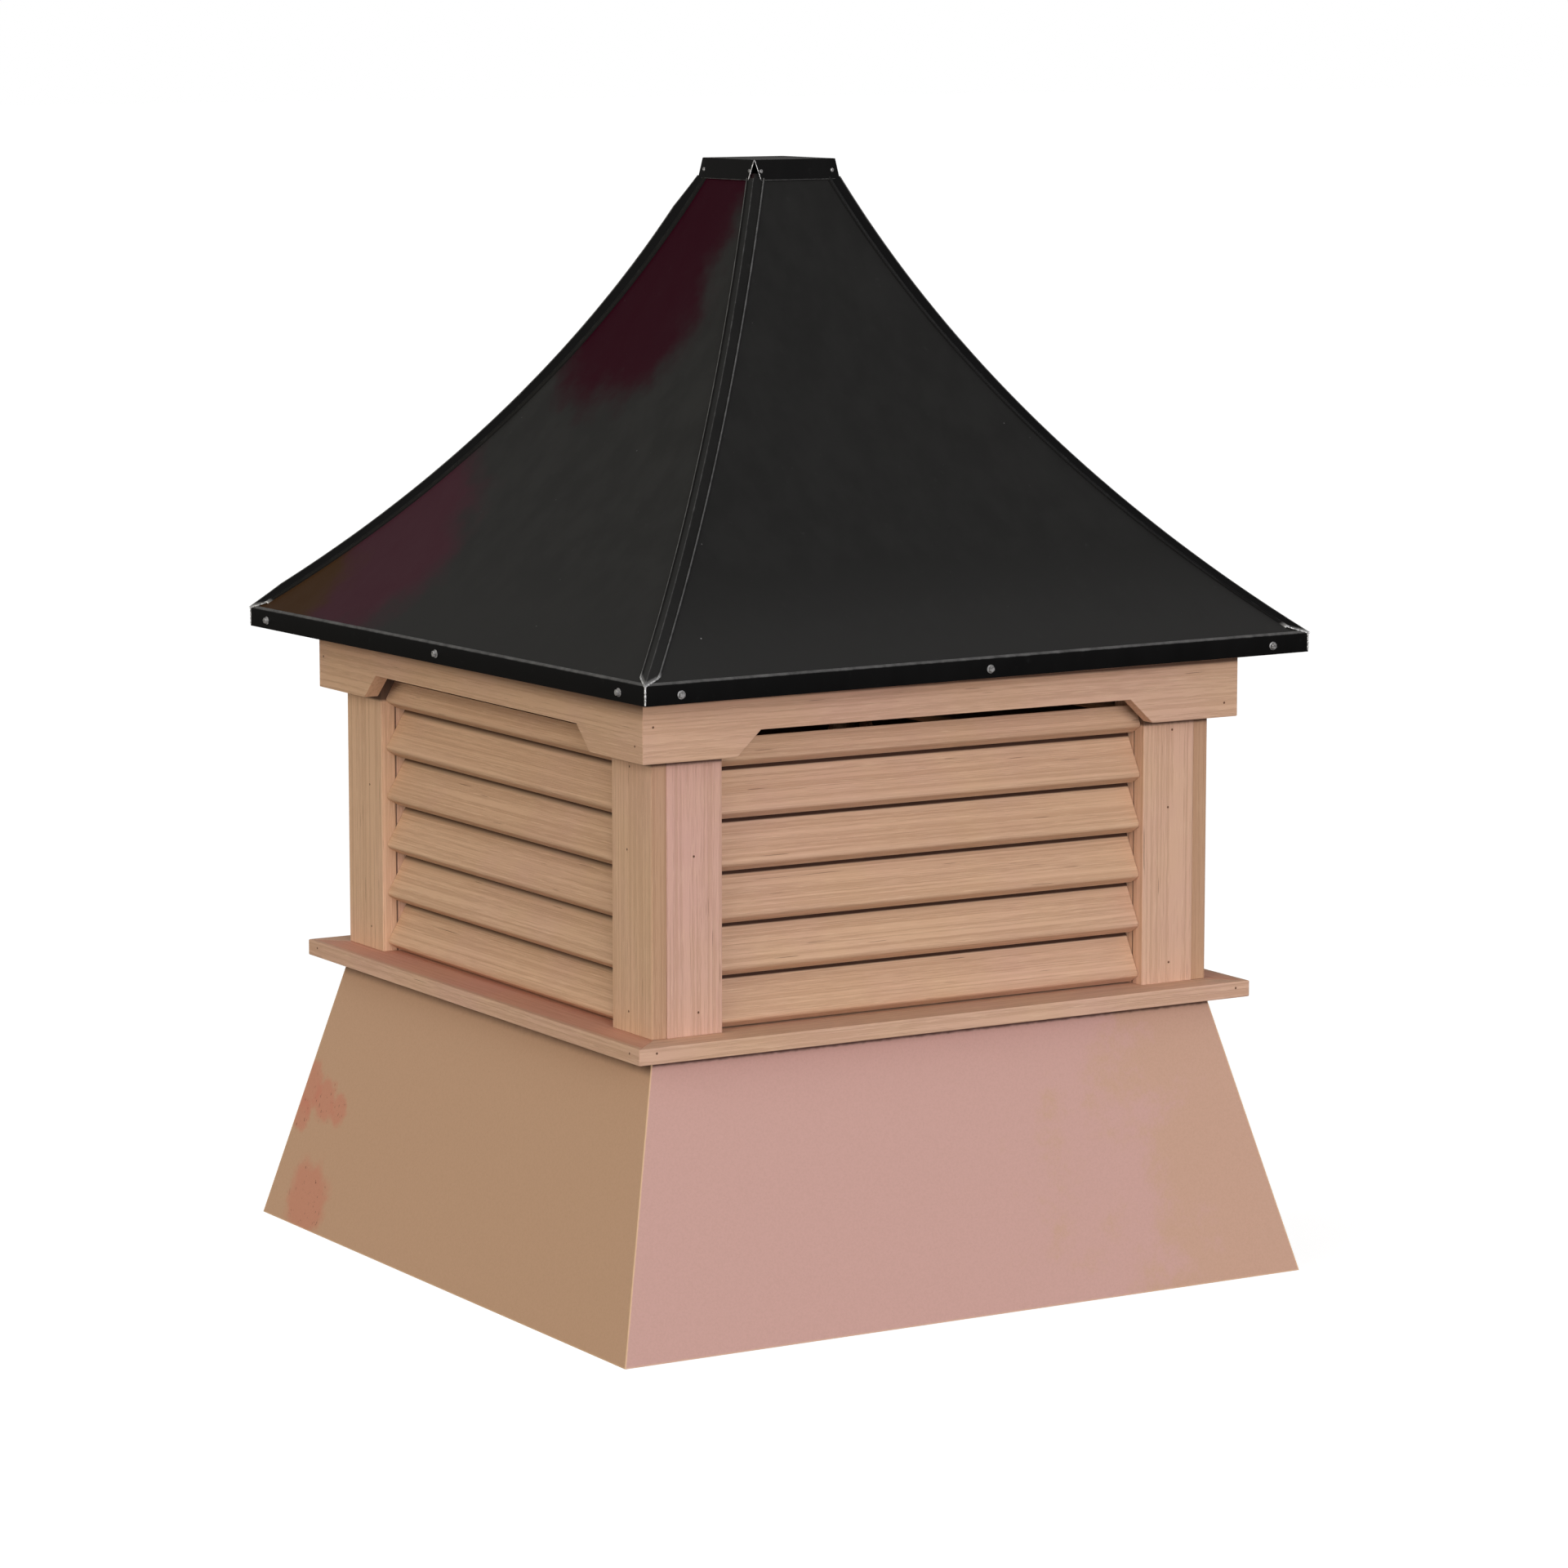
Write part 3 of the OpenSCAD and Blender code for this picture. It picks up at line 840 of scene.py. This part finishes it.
# %% Seams
def bead(name, path, radius, seed):
    """A round bead along a path. At each step a circle stands square to the path, and its radius is the
    given one times 1 plus two small sines. It narrows at both ends."""
    path = np.asarray(path, float)
    t = np.linspace(0, 1, 25)
    knots = np.linspace(0, 1, len(path))
    centre = np.stack([np.interp(t, knots, path[:, k]) for k in range(3)], 1)
    ahead = np.gradient(centre, axis=0)
    ahead /= np.linalg.norm(ahead, axis=1)[:, None]
    aside = np.cross(ahead, (0.3, 0.5, 0.8))
    aside /= np.linalg.norm(aside, axis=1)[:, None]
    over = np.cross(ahead, aside)
    size = radius * (1 + 0.14 * np.sin(31 * t + seed) + 0.10 * np.sin(53 * t + 2 * seed))
    size *= np.sqrt(np.clip(1 - (2 * t - 1) ** 8, 0.04, 1))
    angle = np.linspace(0, 2 * math.pi, 12, endpoint=False)
    ring = np.cos(angle)[:, None] * aside[:, None] + np.sin(angle)[:, None] * over[:, None]
    return loft(name, centre[:, None] + ring * size[:, None, None], zinc_bright)


def cap_end(way):
    """The line along the cut end of a hip cap, from the eave's corner to the cap's edge on one side."""
    u = np.linspace(0, CAP_HALF, 4)
    r, z, out_r, out_z = (values[0] for values in roof_curve(eave_r - CAP_POINT * u, collar_low, 2))
    near = -(r + 1.6 * MM * out_r)
    path = np.stack([near + HALF_SQUARE * u, near, z + 1.6 * MM * out_z], 1)
    return path[:, [1, 0, 2]] if way else path


for turn, corner in enumerate(CORNERS):
    angle = roof_turn + turn * math.pi / 2
    r = eave_r - 0.5 * MM
    seam = np.array([(-r, -r, eave_low + 0.5 * MM), (-r, -r, eave_high + 2 * MM)])
    bead(f"eave_seam_{corner}", turned(seam, angle), 1.1 * MM, turn)
    for way, name in enumerate(("front", "side")):
        bead(f"cap_end_{corner}_{name}", turned(cap_end(way), angle), 0.9 * MM, turn + 3.0 * way)
for end, way in (("left", 0), ("front", 1)):
    foot = np.array([-collar_r - 0.2 * MM, -(collar_r - SLIT), collar_low + 0.6 * MM])
    top = np.array([-collar_top_r - 0.1 * MM, -collar_top_r + 0.4 * MM, collar_high - 0.3 * MM])
    path = np.stack([foot, top])
    path = path[:, [1, 0, 2]] if way else path
    bead(f"collar_seam_{end}", turned(path, roof_turn), (0.55 - 0.15 * way) * MM, 5 + way)
print("seams at four corners of the eave and in the collar's slit")

# %% [markdown]
# ## Screws, rivets and nails
# Small round things are one profile turned about an axis, then copied to their places. A roofing screw has
# a six-sided head on a round washer, so its radius depends on the angle only over the head's height. All the
# heads of one kind share a mesh, built as one array of copies by points.

# %% Turned heads
AROUND = 24


def turned_head(profile, six_sided=()):
    """Rings of points round the z axis, from profile points of radius and height. In a six-sided ring the
    radius is divided by the cosine of the angle from the middle of the nearest flat."""
    profile = MM * np.asarray(profile, float)
    angle = np.linspace(0, 2 * math.pi, AROUND, endpoint=False)
    flat = (angle + math.pi / 6) % (math.pi / 3) - math.pi / 6
    rings = np.repeat(profile[:, :1], AROUND, axis=1)
    for row in six_sided:
        rings[row] /= np.cos(flat)
    height = np.repeat(profile[:, 1:], AROUND, axis=1)
    return np.stack([rings * np.cos(angle), rings * np.sin(angle), height], -1)


def heads(name, rings, places, outward, finish):
    """Copies of a head, each standing on its place with its axis along the way out. The first and last
    rings close on a point. Copies are turned about their own axis by an even step from each other."""
    places = np.asarray(places, float)
    outward = np.asarray(outward, float)
    up = np.array([0.0, 0.0, 1.0])
    aside = np.cross(up, outward)
    aside /= np.linalg.norm(aside, axis=1)[:, None]
    over = np.cross(outward, aside)
    turn = 1.1 * np.arange(len(places))
    c, s = np.cos(turn)[:, None], np.sin(turn)[:, None]
    aside, over = c * aside + s * over, c * over - s * aside
    basis = np.stack([aside, over, outward], axis=1)
    count, around = rings.shape[:2]
    closed = np.concatenate([rings.reshape(-1, 3), rings[0].mean(0)[None], rings[-1].mean(0)[None]])
    points = (closed @ basis + places[:, None]).reshape(-1, 3)
    index = np.arange(count * around).reshape(count, around)
    ahead = np.roll(index, -1, axis=1)
    quads = np.stack([index[:-1], ahead[:-1], ahead[1:], index[1:]], -1).reshape(-1, 4)
    first, last = count * around, count * around + 1
    start = np.stack([ahead[0], index[0], np.full(around, first)], -1)
    finish_fan = np.stack([index[-1], ahead[-1], np.full(around, last)], -1)
    step = len(closed) * np.arange(len(places))[:, None, None]
    flip = slice(None, None, -1) if rings[0, 0, 2] > rings[-1, 0, 2] else slice(None)
    faces = []
    for part in (quads, start, finish_fan):
        faces += (part[None] + step).reshape(-1, part.shape[1])[:, flip].tolist()
    return add_piece(name, points, faces, finish)


screw_head = turned_head([
    (0.8, 4.0), (2.5, 4.1), (3.1, 3.7), (3.25, 3.2), (3.25, 1.3), (3.4, 1.0), (4.4, 0.85), (4.9, 0.5),
    (4.9, 0.1), (4.6, -0.6)], six_sided=(1, 2, 3, 4))
rivet_head = turned_head([
    (0.3, 0.5), (0.7, 0.55), (0.9, 1.05), (1.5, 1.0), (2.1, 0.6), (2.4, 0.1), (2.4, -0.5)])
nail_head = turned_head([(0.4, 0.10), (0.9, 0.14), (1.25, 0.10), (1.45, -0.05), (1.45, -0.6)])
print("heads with", screw_head[:, :, 0].size, rivet_head[:, :, 0].size, nail_head[:, :, 0].size, "points")

# %% [markdown]
# Each eave trim is held by three screws, one in the middle and one near each end, and the collar by two
# rivets a side. Hand-driven fixings are never in line, so each is off its mark by a millimetre or two, from
# a seeded generator.

# %% Fixings in the metal
SCREW_HIGH = 11 * MM
RIVET_HIGH = 11 * MM
chance = np.random.default_rng(7)
screw_places, rivet_places, ways_out = [], [], []
for turn in range(4):
    angle = roof_turn + turn * math.pi / 2
    out = turned(np.array([0.0, -1.0, 0.0]), angle)
    ends = np.array([-(eave_r - 46 * MM), 0.0, eave_r - 52 * MM]) + chance.normal(0, 2.5 * MM, 3)
    height = eave_low + SCREW_HIGH + chance.normal(0, 0.8 * MM, 3)
    screw_places.append(turned(np.stack([ends, np.full(3, -eave_r), height], 1), angle))
    side = np.array([-1, 1]) * 49 * MM + chance.normal(0, 1.0 * MM, 2)
    height = collar_low + RIVET_HIGH + chance.normal(0, 0.8 * MM, 2)
    face = collar_r + (collar_top_r - collar_r) * RIVET_HIGH / STRIP_TALL
    rivet_places.append(turned(np.stack([side, np.full(2, -face), height], 1), angle))
    ways_out.append(out)
screws = heads(
    "eave_screws", screw_head, np.concatenate(screw_places), np.repeat(ways_out, 3, axis=0), zinc_dull)
rivets = heads(
    "collar_rivets", rivet_head, np.concatenate(rivet_places), np.repeat(ways_out, 2, axis=0), zinc_dull)
print(len(screws.data.polygons), "faces of screws,", len(rivets.data.polygons), "of rivets")

# %% [markdown]
# The boards are nailed from outside: near the ends of the frieze and the sill, two or three times up each
# corner board, and three times up each edge of the skirt, where the nails follow its slope.

# %% Nails in the boards
def skirt_at(height):
    """Half the skirt's width at a height above the floor."""
    return skirt_r + (skirt_top_r - skirt_r) * height / sill_low


lean = math.atan2(skirt_r - skirt_top_r, sill_low)
post_x = (body_r + opening_r) / 2
for turn, side in enumerate(SIDES):
    level = [
        (-frieze_r + 13 * MM, frieze_r, frieze_low + 40 * MM),
        (frieze_r - 19 * MM, frieze_r, frieze_low + 17 * MM),
        (-sill_r + 24 * MM, sill_r, (sill_low + sill_high) / 2 + 2 * MM),
        (sill_r - 20 * MM, sill_r, (sill_low + sill_high) / 2),
        (-post_x + 12 * MM, body_r, sill_high + 27 * MM), (-post_x + 11 * MM, body_r, sill_high + 202 * MM),
        (post_x - 8 * MM, body_r, sill_high + 25 * MM), (post_x - 10 * MM, body_r, sill_high + 208 * MM),
        (post_x - 4 * MM, body_r, frieze_low - 12 * MM)]
    sloped = [(way * (skirt_at(z) - inset * MM), skirt_at(z), z)
              for way in (-1, 1) for z, inset in ((0.034, 15), (0.160, 12), (0.290, 9))]
    x, r, z = np.array(level + sloped).T
    places = np.stack([x + chance.normal(0, 1.5 * MM, len(x)), -r, z + chance.normal(0, 1.5 * MM, len(x))], 1)
    out = np.array([(0.0, -1.0, 0.0)] * len(level) + [(0.0, -math.cos(lean), math.sin(lean))] * len(sloped))
    places[len(level):, 1] = -skirt_at(places[len(level):, 2])
    angle = turn * math.pi / 2
    piece = heads(f"nails_{side}", nail_head, turned(places, angle), turned(out, angle), nail_finish)
    print(piece.name, len(places), "nails")

# %% [markdown]
# ## Floor, light and camera
# The cupola stands on a pale floor in soft studio light. Two wide, low sources do most of the work, one
# near the camera and a warmer one from the left. They stand low, so the eave, the sill and the
# blades throw only short shadows, and those are what make the louvres read. A white floor throws so much
# light up that it would fill those shadows. The floor is therefore two surfaces mixed by what kind of ray
# meets it: white where it is looked at, and a mid grey for the light that bounces off it.

# %% Floor
FLOOR_REACH = 60.0
FLOOR_GLOW = 2.95


def pale_floor():
    """White with faint clouds for the eye, and grey for bounced light."""
    finish = Finish("pale_floor")
    clouds = finish.noise(0.6, 3.0, 0.5, 1.0)
    coat = finish.blend(finish.ramp(clouds, 0.3, 0.7), linear(148, 148, 148), linear(152, 152, 152))
    finish.done(
        Base_Color=coat, Roughness=0.9, Specular_IOR_Level=0.0, Emission_Color=coat,
        Emission_Strength=FLOOR_GLOW)
    grey = finish.node("ShaderNodeBsdfDiffuse", {}, {"Color": linear(150, 146, 140)})
    seen = finish.node("ShaderNodeLightPath", output="Is Camera Ray")
    looked_at = Value(finish, finish.surface.outputs[0])
    mixed = finish.node("ShaderNodeMixShader", {}, {0: seen, 1: grey, 2: looked_at})
    finish.feed(finish.tree.nodes["Material Output"], {"Surface": mixed})
    return finish.material


edge = FLOOR_REACH * np.array([(-1, -1, 0), (1, -1, 0), (1, 1, 0), (-1, 1, 0)])
floor_mesh = bpy.data.meshes.new("floor")
floor_mesh.from_pydata(edge.tolist(), [], [(0, 1, 2, 3)])
floor_mesh.materials.append(pale_floor())
floor = bpy.data.objects.new("floor", floor_mesh)
bpy.context.scene.collection.objects.link(floor)
print("floor", 2 * FLOOR_REACH, "m square")

# %% Light
WORLD_LIGHT = 0.36


def studio_world():
    """White where it is looked at, and dimmer and a little warm as a source of light."""
    world = bpy.data.worlds.new("studio")
    world.use_nodes = True
    tree = world.node_tree
    dim = tree.nodes["Background"]
    dim.inputs["Color"].default_value = (1.0, 0.985, 0.96, 1)
    dim.inputs["Strength"].default_value = WORLD_LIGHT
    white = tree.nodes.new("ShaderNodeBackground")
    white.inputs["Color"].default_value = (1, 1, 1, 1)
    seen = tree.nodes.new("ShaderNodeLightPath")
    mixed = tree.nodes.new("ShaderNodeMixShader")
    tree.links.new(seen.outputs["Is Camera Ray"], mixed.inputs[0])
    tree.links.new(dim.outputs[0], mixed.inputs[1])
    tree.links.new(white.outputs[0], mixed.inputs[2])
    tree.links.new(mixed.outputs[0], tree.nodes["World Output"].inputs["Surface"])
    bpy.context.scene.world = world


def soft_sun(name, azimuth, elevation, strength, colour, spread):
    """A sun from a direction given like the camera's: azimuth 0 is in front, and it grows to the right."""
    lamp = bpy.data.lights.new(name, "SUN")
    lamp.energy = strength
    lamp.angle = math.radians(spread)
    lamp.color = colour
    holder = bpy.data.objects.new(name, lamp)
    holder.rotation_euler = (math.radians(90 - elevation), 0, math.radians(azimuth))
    bpy.context.scene.collection.objects.link(holder)
    return holder


studio_world()
soft_sun("key", -13, 10, 1.82, (1.0, 0.975, 0.985), 34)
soft_sun("fill", -75, 16, 0.95, (1.0, 0.94, 0.76), 40)
print("world", WORLD_LIGHT, "and two soft suns")

# %% Camera
AZIMUTH, ELEVATION = math.radians(-31.0), math.radians(8.29)
DISTANCE = 6.524
to_camera = np.array([
    math.sin(AZIMUTH) * math.cos(ELEVATION), -math.cos(AZIMUTH) * math.cos(ELEVATION), math.sin(ELEVATION)])
right = np.array([math.cos(AZIMUTH), math.sin(AZIMUTH), 0.0])
up = np.cross(to_camera, right)
aim = np.array([0, 0, 0.675]) + 0.018 * right - 0.116 * up
camera_data = bpy.data.cameras.new("camera")
camera_data.sensor_width = 36.0
camera_data.lens = 125.6
camera_data.clip_end = 200.0
camera = bpy.data.objects.new("camera", camera_data)
camera.location = aim + DISTANCE * to_camera
camera.rotation_euler = (math.pi / 2 - ELEVATION, 0, AZIMUTH)
bpy.context.scene.collection.objects.link(camera)
bpy.context.scene.camera = camera
bpy.context.scene.view_settings.view_transform = "Standard"
print("camera at", np.round(camera.location, 3).tolist())
